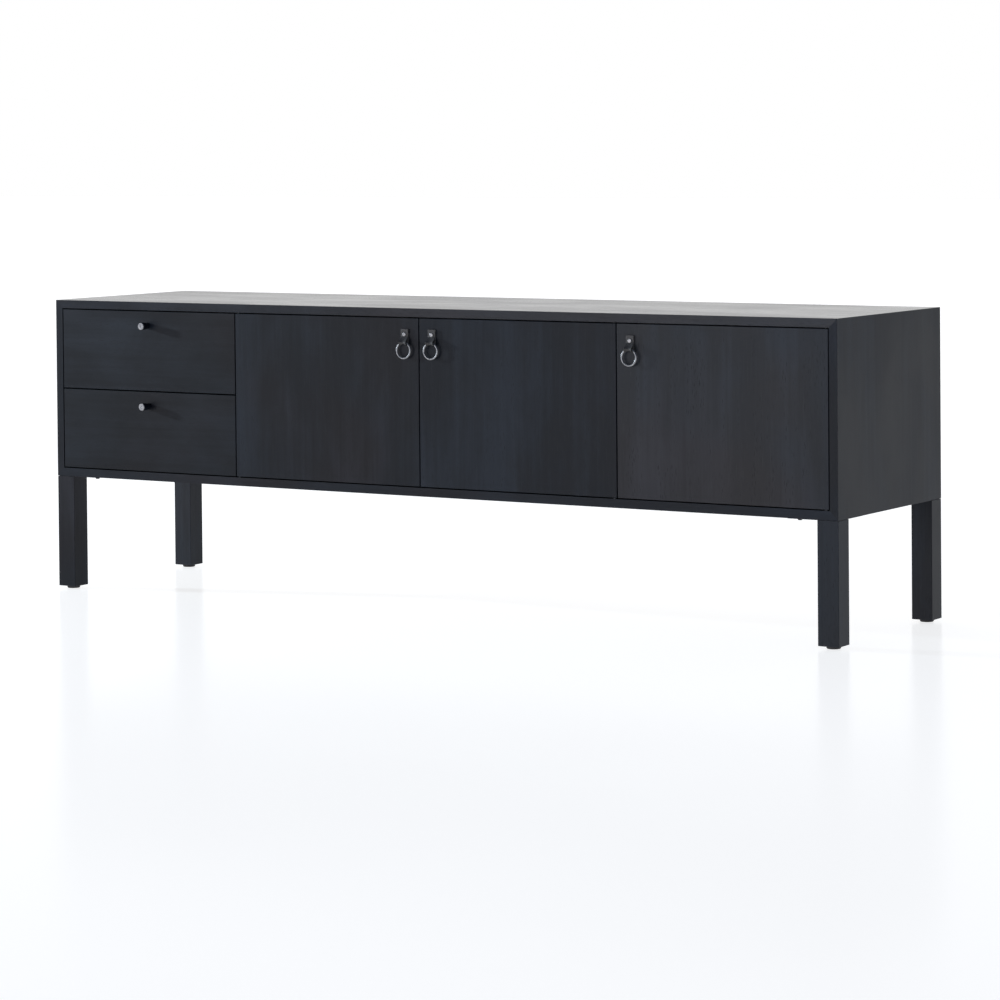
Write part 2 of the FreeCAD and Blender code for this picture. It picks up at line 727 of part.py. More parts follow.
def make_door(door):
    """An inset door on two pivots, with a ring pull and a strike plate for its catch."""
    left = front_low_x(door)
    hinge_in = "pivot_in" if HINGED_LEFT[door] else "(" + FRONT_WIDE + " - pivot_in)"
    leaf_in = "leaf_inset" if HINGED_LEFT[door] else "(" + FRONT_WIDE + " - leaf_inset - leaf_long)"
    pull_in = "(" + FRONT_WIDE + " - pull_in)" if HINGED_LEFT[door] else "pull_in"
    body = board(door + "_panel", (FRONT_WIDE, "panel", DOOR_TALL), (left, FRONT_Y, DOOR_LOW))
    leaf_corner = (leaf_in, "pivot_behind - leaf_wide / 2")
    leaf_size = ("leaf_long", "leaf_wide")
    pivot = [(hinge_in, "pivot_behind")]
    pocket(body, rectangle(body, "XY_Plane", leaf_corner, leaf_size), "leaf_thick", True)
    pocket(body, rectangle(body, "XY_Plane", leaf_corner, leaf_size, DOOR_TALL), "leaf_thick")
    clear = "pin_radius + 2 * pin_play"
    pocket(body, circles(body, "XY_Plane", pivot, clear), "pin_deep + leaf_thick", True)
    pocket(body, circles(body, "XY_Plane", pivot, clear, DOOR_TALL), "pin_deep + leaf_thick")
    hole = circles(body, "XZ_Plane", [(pull_in, DOOR_TALL + " - rivet_drop")], "rivet_radius")
    pocket(body, hole, "rivet_grip")
    round_edges(body, "edge_round", on_front_of_board)

    leaves = []
    for end, low in (("low", DOOR_LOW), ("high", DOOR_LOW + " + " + DOOR_TALL + " - leaf_thick")):
        leaf = leaf_box("%s_leaf_%s" % (door, end), door, low)
        hole = rod("%s_leaf_hole_%s" % (door, end), "pin_radius + pin_play", "leaf_thick",
                   (PIVOT_X[door], PIVOT_Y, low))
        leaves.append(cut("%s_bored_leaf_%s" % (door, end), leaf, [hole]))
    group(door + "_pivot_leaves", leaves)

    strike = rod(door + "_strike", "strike_radius", "strike_thick",
                 (from_free_edge(door, "catch_in"), FRONT_BACK_Y,
                  DOOR_LOW + " + " + DOOR_TALL + " - strike_drop"), about(1, 0, 0, -90))
    finish(strike, door + "_strike_plate")
    make_pull(door)


def make_pull(door):
    """A folded leather tab, the screw that holds it and the ring that hangs in its loop.

    The loop's bore is waisted, so that it clears the curve of the ring as the ring swings.
    """
    x = from_free_edge(door, "pull_in")
    rivet_z = "(" + DOOR_LOW + " + " + DOOR_TALL + " - rivet_drop)"
    loop_y = "(" + FRONT_Y + " - loop_out)"
    loop_z = "(" + rivet_z + " - loop_below_rivet)"
    half = "tab_wide / 2"
    across = about(0, 1, 0, 90)
    strap = box(door + "_tab_strap", ("tab_wide", "tab_thick", "loop_below_rivet + tab_above_rivet"),
                (x + " - " + half, FRONT_Y + " - tab_thick", loop_z))
    loop = rod(door + "_tab_loop", "loop_radius", "tab_wide", (x + " - " + half, loop_y, loop_z), across)
    tools = [rod(door + "_tab_hole", "rivet_radius", "tab_thick", (x, FRONT_Y, rivet_z), about(1, 0, 0, 90))]
    for side, turn in (("left", -90), ("right", 90)):
        cone = doc.addObject("Part::Cone", "%s_tab_bore_%s" % (door, side))
        bind(cone, Radius1="bore_waist", Radius2="bore_mouth", Height=half)
        tools.append(place(cone, (x, loop_y, loop_z), about(0, 1, 0, turn)))
    tab = cut(door + "_tab", fused(door + "_tab_blank", [strap, loop]), tools)
    finish(tab, door + "_leather_tab")

    screw = new_body(door + "_tab_screw")
    revolve(screw, [("0", "-rivet_grip"), ("rivet_radius", "-rivet_grip"), ("rivet_radius", "tab_thick"),
                    ("rivet_head_radius", "tab_thick"),
                    ("rivet_head_radius", "tab_thick + rivet_head"), ("0", "tab_thick + rivet_head")])
    crown = screw.Shape.BoundBox.ZMax - NEAR
    round_edges(screw, "rivet_round", lambda edge: edge.BoundBox.ZMin > crown)
    place(screw, (x, FRONT_Y, rivet_z), about(1, 0, 0, 90))

    ring = doc.addObject("Part::Torus", door + "_ring_torus")
    bind(ring, Radius1="ring_radius", Radius2="wire_radius")
    place(ring, (x, loop_y, loop_z + " - ring_radius"), about(1, 0, 0, 90))
    finish(ring, door + "_ring")


def make_case_pivots():
    """The pivot leaves let into the case, each with its pin; the lower ones carry a collar."""
    pieces = []
    for door, x in PIVOT_X.items():
        reach = "leaf_thick + front_gap + pin_deep"
        low = leaf_box(door + "_case_leaf_low", door, INNER_LOW + " - leaf_thick")
        low_pin = rod(door + "_pin_low", "pin_radius", reach, (x, PIVOT_Y, INNER_LOW + " - leaf_thick"))
        collar = rod(door + "_collar", "collar_radius", "collar_thick", (x, PIVOT_Y, INNER_LOW))
        pieces.append(fused(door + "_case_pivot_low", [low, low_pin, collar]))
        high = leaf_box(door + "_case_leaf_high", door, INNER_HIGH)
        high_pin = rod(door + "_pin_high", "pin_radius", reach,
                       (x, PIVOT_Y, INNER_HIGH + " - front_gap - pin_deep"))
        pieces.append(fused(door + "_case_pivot_high", [high, high_pin]))
    group("case_pivots", pieces)


def make_catches():
    """A magnetic catch under the top for each door, a hair behind the door's strike plate."""
    catches = []
    for door in PIVOT_X:
        middle = from_free_edge(door, "catch_in")
        y = FRONT_BACK_Y + " + strike_thick + catch_gap"
        z = INNER_HIGH + " - catch_tall"
        catches.append(box(door + "_catch", ("catch_long", "catch_deep", "catch_tall"),
                           (middle + " - catch_long / 2", y, z)))
    group("door_catches", catches)


def write_parts():
    """Check every object and every node, then write each node's file."""
    doc.recompute()
    for thing in doc.Objects:
        if "Invalid" in thing.State or "Error" in thing.State:
            raise RuntimeError("%s failed: %s" % (thing.Name, thing.State))
    labels = [node.Label for node in nodes]
    if len(set(labels)) != len(labels) or len(labels) > MOST_NODES:
        raise RuntimeError("%d nodes, %d names" % (len(labels), len(set(labels))))
    os.makedirs("parts", exist_ok=True)
    for node in nodes:
        shape = node.Shape
        if shape.isNull() or not shape.isValid() or not shape.Solids:
            raise RuntimeError(node.Label + ": bad shape")
        shape.exportStep("parts/" + node.Label + ".step")
        print("%-26s %3d solids %12.1f mm3" % (node.Label, len(shape.Solids), shape.Volume))
    print(len(nodes), "nodes")


make_top()
make_bottom()
make_sides()
make_partitions()
make_back()
make_shelves()
make_legs()
for drawer, drawer_low in DRAWERS.items():
    make_drawer(drawer, drawer_low)
for door_name in PIVOT_X:
    make_door(door_name)
make_case_pivots()
make_catches()
write_parts()
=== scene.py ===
import math

import bmesh
import bpy
from mathutils import Matrix, Vector


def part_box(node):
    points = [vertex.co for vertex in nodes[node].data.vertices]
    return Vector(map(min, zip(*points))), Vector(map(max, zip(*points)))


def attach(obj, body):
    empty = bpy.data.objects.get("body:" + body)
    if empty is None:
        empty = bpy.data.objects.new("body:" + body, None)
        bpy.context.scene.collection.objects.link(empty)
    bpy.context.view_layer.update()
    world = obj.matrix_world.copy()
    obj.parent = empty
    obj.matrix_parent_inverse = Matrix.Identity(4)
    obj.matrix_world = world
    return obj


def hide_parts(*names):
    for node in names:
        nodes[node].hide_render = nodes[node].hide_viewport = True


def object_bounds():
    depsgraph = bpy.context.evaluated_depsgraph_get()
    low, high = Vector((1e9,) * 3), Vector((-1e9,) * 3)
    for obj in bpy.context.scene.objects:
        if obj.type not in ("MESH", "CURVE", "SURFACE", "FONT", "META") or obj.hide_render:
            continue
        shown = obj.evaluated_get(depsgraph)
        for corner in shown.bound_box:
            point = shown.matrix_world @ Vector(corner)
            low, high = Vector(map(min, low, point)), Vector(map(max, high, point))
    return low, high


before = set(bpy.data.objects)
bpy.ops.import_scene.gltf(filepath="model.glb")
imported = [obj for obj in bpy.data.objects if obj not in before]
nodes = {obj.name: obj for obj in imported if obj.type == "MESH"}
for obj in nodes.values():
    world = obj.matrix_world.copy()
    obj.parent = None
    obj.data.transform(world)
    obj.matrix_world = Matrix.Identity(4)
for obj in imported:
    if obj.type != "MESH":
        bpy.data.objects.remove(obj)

CAD_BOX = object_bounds()
MM = 0.001
DOORS = ("door_1", "door_2", "door_3")
DRAWERS = ("upper", "lower")


# Node trees

EVEN = (1.0, 1.0, 1.0)
# Where a Mix node keeps its two colours and its mixed colour.
FIRST_COLOUR, SECOND_COLOUR, MIXED_COLOUR = 6, 7, 2


class Tree:
    """A material's node tree with short calls for the nodes that the finishes share."""

    def __init__(self, name):
        self.material = bpy.data.materials.new(name)
        self.material.use_nodes = True
        self.tree = self.material.node_tree
        self.shader = self.tree.nodes["Principled BSDF"]
        self.place = self.add("ShaderNodeTexCoord").outputs["Object"]

    def add(self, kind, **settings):
        """A new node with some of its settings."""
        node = self.tree.nodes.new(kind)
        for key, value in settings.items():
            setattr(node, key, value)
        return node

    def link(self, source, target):
        self.tree.links.new(source, target)

    def set(self, **values):
        """Set numbers and colours that are the same all over, on the shader's own sockets."""
        for name, value in values.items():
            self.shader.inputs[name.replace("_", " ")].default_value = value

    def mapped(self, scale=EVEN, shift=(0.0, 0.0, 0.0)):
        """The object's own coordinates, stretched and then shifted."""
        node = self.add("ShaderNodeMapping")
        self.link(self.place, node.inputs["Vector"])
        node.inputs["Location"].default_value = shift
        node.inputs["Scale"].default_value = scale
        return node.outputs["Vector"]

    def noise(self, vector, scale, detail, rough, distort=0.0):
        """Cloudy noise, about 0.5 on average."""
        node = self.add("ShaderNodeTexNoise")
        self.link(vector, node.inputs["Vector"])
        node.inputs["Scale"].default_value = scale
        node.inputs["Detail"].default_value = detail
        node.inputs["Roughness"].default_value = rough
        node.inputs["Distortion"].default_value = distort
        return node.outputs["Fac"]

    def cells(self, vector, scale):
        """The distance to the nearest of many scattered points."""
        node = self.add("ShaderNodeTexVoronoi", feature="F1")
        self.link(vector, node.inputs["Vector"])
        node.inputs["Scale"].default_value = scale
        return node.outputs["Distance"]

    def ranged(self, value, low, high, to_low=0.0, to_high=1.0):
        """Map a value from one range to another, clamped, with a smooth step."""
        node = self.add("ShaderNodeMapRange", interpolation_type="SMOOTHSTEP")
        self.link(value, node.inputs["Value"])
        for name, number in zip(("From Min", "From Max", "To Min", "To Max"),
                                (low, high, to_low, to_high)):
            node.inputs[name].default_value = number
        return node.outputs["Result"]

    def math(self, operation, first, second=0.0):
        """One or two values or numbers through a math node."""
        node = self.add("ShaderNodeMath", operation=operation)
        for socket, value in zip(node.inputs, (first, second)):
            if isinstance(value, (int, float)):
                socket.default_value = value
            else:
                self.link(value, socket)
        return node.outputs[0]

    def blend(self, factor, low, high):
        """Two colours mixed by a value."""
        node = self.add("ShaderNodeMix", data_type="RGBA")
        self.link(factor, node.inputs["Factor"])
        sockets = (node.inputs[FIRST_COLOUR], node.inputs[SECOND_COLOUR])
        for socket, value in zip(sockets, (low, high)):
            if isinstance(value, tuple):
                socket.default_value = value + (1.0,)
            else:
                self.link(value, socket)
        return node.outputs[MIXED_COLOUR]

    def bump(self, height, distance, strength):
        """Relief from a height; distance is what one unit of it stands for, in metres."""
        node = self.add("ShaderNodeBump")
        node.inputs["Distance"].default_value = distance
        node.inputs["Strength"].default_value = strength
        self.link(height, node.inputs["Height"])
        self.link(node.outputs["Normal"], self.shader.inputs["Normal"])

    def finish(self, colour, rough):
        """Connect the colour and roughness, and give the finished material."""
        self.link(colour, self.shader.inputs["Base Color"])
        self.link(rough, self.shader.inputs["Roughness"])
        return self.material


# Finishes

ALONG = {"x": 0, "y": 1, "z": 2}


def stretched(grain, squeeze):
    """A scale that draws a texture out along the grain."""
    scale = [1.0, 1.0, 1.0]
    scale[ALONG[grain]] = squeeze
    return tuple(scale)


STAIN_BLUE = (0.0030, 0.0052, 0.0096)
STAIN_BROWN = (0.0058, 0.0052, 0.0080)
WORN_BLUE = (0.0136, 0.0190, 0.0290)
WORN_BROWN = (0.0196, 0.0190, 0.0250)
FIBRE_GREY = (0.0200, 0.0215, 0.0260)
PORE_BLACK = (0.003, 0.003, 0.004)
FIGURE_SHARE, STREAK_SHARE, CLOUD_SHARE = 0.30, 0.20, 0.50


def stained_wood(name, grain, seed, tone, painted_lift, gloss):
    """Blue-black stained veneer: cloudy stain, broad figure, fibres, pores and a satin lacquer.

    Tone multiplies the colours and the painted lift is added to them: painted light and shade, set
    board by board. Gloss is the range of roughness.
    """
    tree = Tree(name)
    shift = (seed * 1.37, seed * 2.11, seed * 0.73)
    figure = tree.noise(tree.mapped(stretched(grain, 0.16), shift), 9.0, 3.0, 0.5, 0.6)
    streaks = tree.noise(tree.mapped(stretched(grain, 0.035), shift), 75.0, 5.0, 0.6, 0.2)
    fibres = tree.noise(tree.mapped(stretched(grain, 0.03), shift), 620.0, 3.0, 0.6)
    pores = tree.cells(tree.mapped(stretched(grain, 0.07), shift), 520.0)
    clouds = tree.noise(tree.mapped(stretched(grain, 0.55), shift), 5.0, 5.0, 0.6, 0.3)
    tint = tree.noise(tree.mapped(EVEN, shift[::-1]), 2.1, 2.0, 0.5)

    # Each colour is scaled by the board's tone and raised by its lift: painted light and shade for
    # that board.
    def toned(colour):
        return tuple(channel * tone + painted_lift for channel in colour)

    brown = tree.ranged(tint, 0.48, 0.74)
    stain = tree.blend(brown, toned(STAIN_BLUE), toned(STAIN_BROWN))
    worn = tree.blend(brown, toned(WORN_BLUE), toned(WORN_BROWN))
    broad = tree.math("ADD", tree.math("MULTIPLY", figure, FIGURE_SHARE),
                      tree.math("MULTIPLY", streaks, STREAK_SHARE))
    broad = tree.math("ADD", broad, tree.math("MULTIPLY", clouds, CLOUD_SHARE))
    colour = tree.blend(tree.ranged(broad, 0.43, 0.66), stain, worn)
    fibre_light = tree.ranged(fibres, 0.55, 0.78, 0.0, 0.45)
    colour = tree.blend(fibre_light, colour, toned(FIBRE_GREY))
    pore_mask = tree.ranged(pores, 0.10, 0.26, 1.0, 0.0)
    pore_field = tree.math("MULTIPLY", pore_mask, tree.ranged(streaks, 0.45, 0.6))
    colour = tree.blend(pore_field, colour, PORE_BLACK)

    rough = tree.math("ADD", tree.ranged(clouds, 0.3, 0.7, *gloss),
                      tree.math("MULTIPLY", pore_field, 0.15))
    height = tree.math("SUBTRACT", tree.math("MULTIPLY", fibres, 0.35), pore_field)
    tree.bump(height, 0.16 * MM, 0.5)
    tree.set(Specular_IOR_Level=0.17)
    return tree.finish(colour, rough)


PLY_PITCH = 3.0 * MM
GLUE_BROWN = (0.27, 0.15, 0.07)


def plywood(name, grain, stack, seed):
    """Clear-coated birch: warm fine grain, with the plies showing as bands on the board's edges."""
    tree = Tree(name)
    shift = (seed * 0.91, seed * 1.63, seed * 2.3)
    figure = tree.noise(tree.mapped(stretched(grain, 0.08), shift), 26.0, 4.0, 0.55, 0.8)
    fibres = tree.noise(tree.mapped(stretched(grain, 0.03), shift), 520.0, 3.0, 0.6)
    colour = tree.blend(tree.ranged(figure, 0.34, 0.66), (0.50, 0.34, 0.19), (0.63, 0.47, 0.29))
    colour = tree.blend(tree.ranged(fibres, 0.52, 0.74, 0.0, 0.45), colour, (0.40, 0.26, 0.14))
    plies = tree.add("ShaderNodeSeparateXYZ")
    tree.link(tree.place, plies.inputs["Vector"])
    band = tree.math("MODULO", tree.math("ABSOLUTE", plies.outputs[ALONG[stack]]), PLY_PITCH)
    glue = tree.ranged(band, 1.35 * MM, 1.55 * MM)
    facing = tree.add("ShaderNodeNewGeometry")
    split = tree.add("ShaderNodeSeparateXYZ")
    tree.link(facing.outputs["Normal"], split.inputs["Vector"])
    edge = tree.ranged(tree.math("ABSOLUTE", split.outputs[ALONG[stack]]), 0.4, 0.6, 1.0, 0.0)
    glue_line = tree.math("MULTIPLY", tree.math("MULTIPLY", glue, edge), 0.6)
    colour = tree.blend(glue_line, colour, GLUE_BROWN)
    rough = tree.ranged(fibres, 0.3, 0.7, 0.38, 0.5)
    tree.bump(fibres, 0.12 * MM, 0.4)
    tree.set(Specular_IOR_Level=0.45)
    return tree.finish(colour, rough)


def dark_board(name):
    """The thin back panel: black-stained fibreboard with a faint pressed texture."""
    tree = Tree(name)
    mottle = tree.noise(tree.mapped(), 45.0, 5.0, 0.6)
    fibres = tree.noise(tree.mapped((1.0, 1.0, 0.25)), 900.0, 3.0, 0.6)
    colour = tree.blend(tree.ranged(mottle, 0.35, 0.65),
                        (0.020, 0.020, 0.022), (0.032, 0.032, 0.035))
    colour = tree.blend(tree.ranged(fibres, 0.55, 0.75, 0.0, 0.5), colour, (0.055, 0.053, 0.052))
    tree.bump(fibres, 0.2 * MM, 0.5)
    tree.set(Specular_IOR_Level=0.25)
    return tree.finish(colour, tree.ranged(mottle, 0.3, 0.7, 0.62, 0.75))


def metal(name, base, dull, rough, grain=None):
    """A worn metal: tarnish in clouds, and fine scratches that follow the grain if it has one."""
    tree = Tree(name)
    clouds = tree.noise(tree.mapped(), 160.0, 5.0, 0.6)
    scale = stretched(grain, 0.04) if grain else EVEN
    scratches = tree.noise(tree.mapped(scale), 900.0, 4.0, 0.65)
    colour = tree.blend(tree.ranged(clouds, 0.35, 0.68), base, dull)
    bright = tuple(channel * 1.25 for channel in base)
    colour = tree.blend(tree.ranged(scratches, 0.55, 0.8, 0.0, 0.4), colour, bright)
    roughness = tree.math("ADD", tree.ranged(clouds, 0.3, 0.7, rough, rough + 0.12),
                          tree.math("MULTIPLY", scratches, 0.08))
    tree.bump(scratches, 0.05 * MM, 0.5)
    tree.set(Metallic=1.0)
    return tree.finish(colour, roughness)


def leather(name):
    """Dark tanned leather: fine pebbled grain, creases and slightly paler rubbed spots."""
    tree = Tree(name)
    pebble = tree.cells(tree.mapped(), 1500.0)
    folds = tree.noise(tree.mapped(), 260.0, 5.0, 0.6, 0.4)
    wear = tree.noise(tree.mapped(), 90.0, 3.0, 0.5)
    colour = tree.blend(tree.ranged(folds, 0.35, 0.65),
                        (0.020, 0.019, 0.020), (0.040, 0.038, 0.039))
    colour = tree.blend(tree.ranged(wear, 0.52, 0.72, 0.0, 0.6), colour, (0.075, 0.070, 0.068))
    height = tree.math("ADD", tree.math("MULTIPLY", pebble, 0.6), tree.math("MULTIPLY", folds, 0.7))
    tree.bump(height, 0.25 * MM, 0.6)
    tree.set(Specular_IOR_Level=0.45, Sheen_Weight=0.08)
    return tree.finish(colour, tree.ranged(wear, 0.3, 0.7, 0.42, 0.55))


def plastic(name, base):
    """Moulded black plastic with a fine spark-eroded texture."""
    tree = Tree(name)
    spark = tree.noise(tree.mapped(), 1400.0, 3.0, 0.6)
    cloud = tree.noise(tree.mapped(), 60.0, 3.0, 0.5)
    pale = tuple(channel * 1.8 for channel in base)
    colour = tree.blend(tree.ranged(cloud, 0.35, 0.65), base, pale)
    tree.bump(spark, 0.08 * MM, 0.6)
    tree.set(Specular_IOR_Level=0.4)
    return tree.finish(colour, tree.ranged(spark, 0.3, 0.7, 0.5, 0.62))


def dress(name, material):
    """Give a CAD node its finish."""
    mesh = nodes[name].data
    mesh.materials.clear()
    mesh.materials.append(material)


# The way each stained board's grain runs. The order gives each board its own pattern.
BOARD_GRAIN = {
    "top_panel": "x", "bottom_panel": "x", "left_side_panel": "z", "right_side_panel": "z",
    "left_partition": "z", "right_partition": "z",
    "double_bay_shelf": "x", "single_bay_shelf": "x",
    "leg_front_left": "z", "leg_front_right": "z", "leg_back_left": "z", "leg_back_right": "z",
    "upper_drawer_front": "x", "lower_drawer_front": "x",
    "door_1_panel": "z", "door_2_panel": "z", "door_3_panel": "z",
    "upper_knob": "y", "lower_knob": "y",
}
# Painted light and shade: each board's tone and lift. The top's lift is a painted reflection; door
# 3 and two legs get painted light, door 1 and the drawer fronts painted shade.
NO_PAINTED_LIGHT = (1.0, 0.0)
PAINTED_LIGHT_TONE = {
    "top_panel": (1.1, 0.011), "door_1_panel": (0.9, 0.0), "door_3_panel": (1.1, 0.014),
    "upper_drawer_front": (0.8, 0.0), "lower_drawer_front": (0.7, 0.0),
    "leg_front_right": (0.9, 0.008), "leg_back_left": (1.0, 0.006),
}
SATIN = (0.36, 0.46)
POLISHED = (0.165, 0.225)
FIRST_PLY_SEED = 31


def dress_all():
    """Give every CAD node its finish."""
    for seed, (name, grain) in enumerate(BOARD_GRAIN.items(), start=1):
        # The board's tone and lift paint its light and shade; boards not in the table get none.
        tone, painted_lift = PAINTED_LIGHT_TONE.get(name, NO_PAINTED_LIGHT)
        gloss = POLISHED if name == "top_panel" else SATIN
        dress(name, stained_wood("stain_" + name, grain, seed, tone, painted_lift, gloss))
    ply_boards = {
        "left_side": ("y", "x"), "right_side": ("y", "x"),
        "box_front": ("x", "y"), "box_back": ("x", "y"), "bottom": ("y", "z"),
    }
    for seed, drawer in enumerate(DRAWERS, start=FIRST_PLY_SEED):
        for board, (grain, stack) in ply_boards.items():
            finish = plywood("ply_%s_%s" % (drawer, board), grain, stack, seed)
            dress("%s_drawer_%s" % (drawer, board), finish)
    dress("back_panel", dark_board("back_board"))

    zinc = metal("zinc_plate", (0.50, 0.50, 0.51), (0.40, 0.40, 0.42), 0.34)
    rolled = metal("rolled_zinc", (0.52, 0.53, 0.54), (0.44, 0.45, 0.47), 0.28, "y")
    blackened = metal("blackened_steel", (0.055, 0.055, 0.058), (0.03, 0.03, 0.032), 0.45)
    pewter = metal("pewter_steel", (0.34, 0.34, 0.35), (0.21, 0.21, 0.22), 0.30)
    cap_steel = metal("cap_steel", (0.30, 0.30, 0.31), (0.19, 0.19, 0.20), 0.34)
    for name in ("back_screws", "shelf_pins"):
        dress(name, zinc)
    for name in ("leg_plates", "leg_bolts", "case_pivots"):
        dress(name, blackened)
    for drawer in DRAWERS:
        for member in ("case_rails", "middle_rails", "drawer_rails"):
            dress("%s_%s" % (drawer, member), rolled)
        dress(drawer + "_knob_bolt", cap_steel)
    for door in DOORS:
        dress(door + "_pivot_leaves", blackened)
        dress(door + "_strike_plate", zinc)
        dress(door + "_tab_screw", pewter)
        dress(door + "_ring", pewter)
    black = plastic("black_plastic", (0.010, 0.010, 0.011))
    dress("foot_glides", black)
    dress("door_catches", black)


# Leather tabs

# The leather is full thickness at the top, pared down at the fold, and clear of the ring's wire.
STRAP_THICK = 2.15 * MM
FOLD_THICK = 1.55 * MM
FOLD_PLAY = 0.35 * MM
STRAP_ROUND = 0.55 * MM
# The layers meet this far above the loop's centre; the fold goes round it at these degrees.
PINCH_RISE = 12.0 * MM
FOLD_ANGLES = range(15, -196, -15)
# The screw dents the front layer's face, which lies more than this many thicknesses out.
DENT_RADIUS = 6.0 * MM
DENT_DEPTH = 0.15 * MM
FRONT_FACE = 1.4
# Small gaps keep the strap off the door and inside the CAD tab's outline.
DOOR_GAP = 0.05 * MM
SIDE_TRIM = 0.05 * MM
TOP_TRIM = 0.1 * MM
STRAP_STEPS = 110
CURVE_PARTS = 24
FLAT_COLUMNS = 13


def strap_section(half_wide):
    """The strap's outline as (across, out) points; out runs from -1 to 1 over its thickness."""
    flat = half_wide - STRAP_ROUND
    front = [(flat * (2 * column / (FLAT_COLUMNS - 1) - 1), 1.0) for column in range(FLAT_COLUMNS)]
    points = list(front)
    for degrees in (60, 30, 0, -30, -60):
        angle = math.radians(degrees)
        points.append((flat + STRAP_ROUND * math.cos(angle), math.sin(angle)))
    points += [(across, -1.0) for across, out in reversed(front)]
    for degrees in (-120, -150, 180, 150, 120):
        angle = math.radians(degrees)
        points.append((STRAP_ROUND * math.cos(angle) - flat, math.sin(angle)))
    return points


def strap_path(across, top_z, loop_y, loop_z, ring_radius, wire, face_y):
    """One column's middle line in Y and Z: down the door, round under the ring, up the front.

    The fold follows the ring's curve, so it is tighter in the middle than at the strap's edges.
    """
    swept = ring_radius - math.sqrt((ring_radius - wire) ** 2 - across ** 2)
    radius = swept + FOLD_PLAY + FOLD_THICK / 2
    back_y = face_y - STRAP_THICK / 2
    front_y = face_y - STRAP_THICK * 1.5
    pinch_z = loop_z + PINCH_RISE
    knots = [(back_y, top_z), (back_y, (top_z + pinch_z) / 2), (back_y, pinch_z)]
    for degrees in FOLD_ANGLES:
        angle = math.radians(degrees)
        knots.append((loop_y + radius * math.cos(angle), loop_z + radius * math.sin(angle)))
    knots += [(front_y, pinch_z), (front_y, (top_z + pinch_z) / 2), (front_y, top_z)]
    return smooth_line(knots, STRAP_STEPS)


def smooth_line(knots, steps):
    """Evenly spaced points on a Catmull-Rom curve through the knots."""
    fine = []
    padded = [knots[0]] + knots + [knots[-1]]
    for index in range(1, len(padded) - 2):
        before, here, there, after = (Vector((*point, 0)) for point in padded[index - 1:index + 3])
        for part in range(CURVE_PARTS):
            t = part / CURVE_PARTS
            fine.append(0.5 * ((2 * here) + (there - before) * t
                               + (2 * before - 5 * here + 4 * there - after) * t ** 2
                               + (3 * here - before - 3 * there + after) * t ** 3))
    fine.append(Vector((*knots[-1], 0)))
    lengths = [0.0]
    for first, second in zip(fine, fine[1:]):
        lengths.append(lengths[-1] + (second - first).length)
    line = []
    index = 0
    for step in range(steps + 1):
        wanted = lengths[-1] * step / steps
        while index < len(lengths) - 2 and lengths[index + 1] < wanted:
            index += 1
        span = lengths[index + 1] - lengths[index]
        share = 0.0 if span == 0 else (wanted - lengths[index]) / span
        line.append(fine[index].lerp(fine[index + 1], share))
    return line


def make_tab(door, material):
    """A strip of leather folded round the ring and held by its screw, in place of the CAD tab."""
    low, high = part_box(door + "_leather_tab")
    face_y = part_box(door + "_panel")[0].y - DOOR_GAP
    screw_low, screw_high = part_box(door + "_tab_screw")
    screw_z = (screw_low.z + screw_high.z) / 2
    ring_low, ring_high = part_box(door + "_ring")
    wire = (ring_high.y - ring_low.y) / 2
    loop_y = (ring_high.y + ring_low.y) / 2
    loop_z = ring_high.z - wire
    ring_radius = (ring_high.z - ring_low.z) / 2 - wire
    middle_x = (low.x + high.x) / 2
    section = strap_section((high.x - low.x) / 2 - SIDE_TRIM)
    paths = {}
    for across, out in section:
        key = round(abs(across), 6)
        if key not in paths:
            paths[key] = strap_path(key, high.z - TOP_TRIM, loop_y, loop_z,
                                    ring_radius, wire, face_y)

    mesh = bmesh.new()
    rows = []
    for index in range(STRAP_STEPS + 1):
        row = []
        for across, out in section:
            path = paths[round(abs(across), 6)]
            point = path[index]
            along = (path[min(index + 1, STRAP_STEPS)] - path[max(index - 1, 0)]).normalized()
            above = min(max((point.y - loop_z) / PINCH_RISE, 0.0), 1.0)
            thick = FOLD_THICK + (STRAP_THICK - FOLD_THICK) * above
            spot = point + Vector((-along.y, along.x, 0.0)) * out * thick / 2
            on_front = spot.x < face_y - STRAP_THICK * FRONT_FACE
            dent = math.exp(-((spot.y - screw_z) ** 2 + across ** 2) / DENT_RADIUS ** 2)
            push = DENT_DEPTH * dent if on_front else 0.0
            row.append(mesh.verts.new((middle_x + across, spot.x + push, spot.y)))
        rows.append(row)
    count = len(section)
    for first, second in zip(rows, rows[1:]):
        for index in range(count):
            following = (index + 1) % count
            mesh.faces.new((first[index], first[following], second[following], second[index]))
    mesh.faces.new(rows[0])
    mesh.faces.new(list(reversed(rows[-1])))
    bmesh.ops.recalc_face_normals(mesh, faces=mesh.faces)
    data = bpy.data.meshes.new(door + "_tab")
    mesh.to_mesh(data)
    mesh.free()
    for face in data.polygons:
        face.use_smooth = True
    data.materials.append(material)
    tab = bpy.data.objects.new(door + "_tab", data)
    bpy.context.scene.collection.objects.link(tab)
    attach(tab, door)
    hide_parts(door + "_leather_tab")


# Studio

WHITE = (1.0, 1.0, 1.0)
FLOOR_SIZE = 80.0
FLOOR_DROP = 0.2 * MM
FLOOR_IOR = 1.045
FLOOR_GLOW = 0.765


